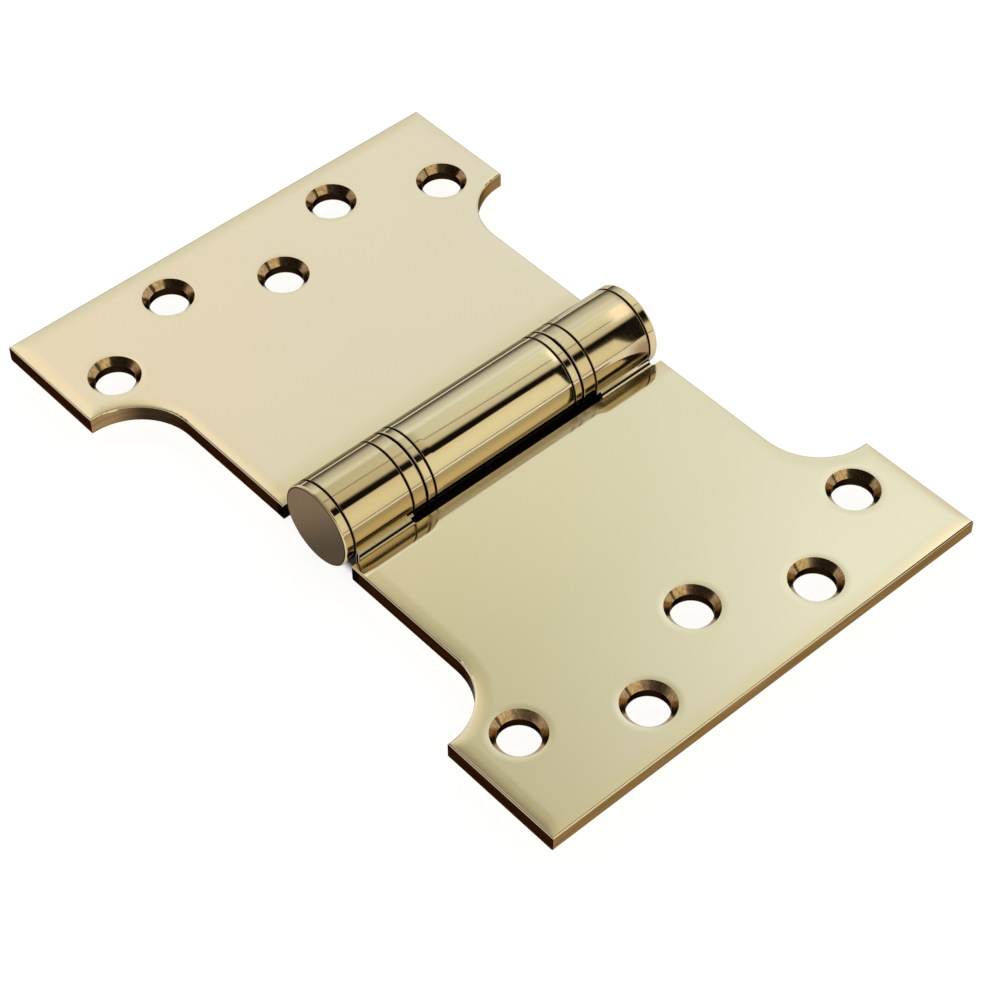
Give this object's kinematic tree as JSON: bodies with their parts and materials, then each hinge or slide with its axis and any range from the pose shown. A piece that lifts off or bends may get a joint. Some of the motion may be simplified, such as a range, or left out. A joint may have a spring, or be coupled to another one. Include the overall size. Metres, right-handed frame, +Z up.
{
  "type": "parliament hinge",
  "caption": "Flat brass parliament hinge with two T-shaped leaves, countersunk screw holes in a zigzag and a raised barrel with ball bearings and flat end caps.",
  "frame": {"origin": "on the surface that the open hinge lies over, below the middle of the barrel", "axes": "+X from leaf_a to leaf_b, +Y along the barrel from the near cap to the far cap, +Z up out of the countersunk faces"},
  "size_m": [0.152, 0.102, 0.0167],
  "materials": {
    "polished_brass": "polished",
    "pin_steel": "ground",
    "race_steel": "ground",
    "cage_brass": "pressed",
    "ball_steel": "polished"
  },
  "bodies": {
    "leaf_b": {"leaf_b": "polished_brass", "hinge_pin": "pin_steel", "cap_near": "polished_brass", "cap_far": "polished_brass", "bearing_cup_near": "polished_brass", "bearing_cup_far": "polished_brass", "outer_race_near": "race_steel", "outer_race_far": "race_steel"},
    "leaf_a": {"leaf_a": "polished_brass", "bearing_cover_near": "polished_brass", "bearing_cover_far": "polished_brass", "inner_race_near": "race_steel", "inner_race_far": "race_steel"},
    "balls_near": {"ball_cage_near": "cage_brass", "bearing_balls_near": "ball_steel"},
    "balls_far": {"ball_cage_far": "cage_brass", "bearing_balls_far": "ball_steel"}
  },
  "joints": [
    {"name": "leaf_swing", "type": "hinge", "parent": "leaf_b", "child": "leaf_a", "pos_m": [0, 0, 0.00835], "axis": [0, 1, 0], "range_deg": [-114, 180]},
    {"name": "ball_roll_near", "type": "hinge", "parent": "leaf_b", "child": "balls_near", "pos_m": [0, -0.01957, 0.00835], "axis": [0, 1, 0], "range_deg": [-57, 90]},
    {"name": "ball_roll_far", "type": "hinge", "parent": "leaf_b", "child": "balls_far", "pos_m": [0, 0.01957, 0.00835], "axis": [0, 1, 0], "range_deg": [-57, 90]}
  ],
  "couplings": [
    {"joint": "ball_roll_near", "follows": "leaf_swing", "ratio": 0.5},
    {"joint": "ball_roll_far", "follows": "leaf_swing", "ratio": 0.5}
  ]
}
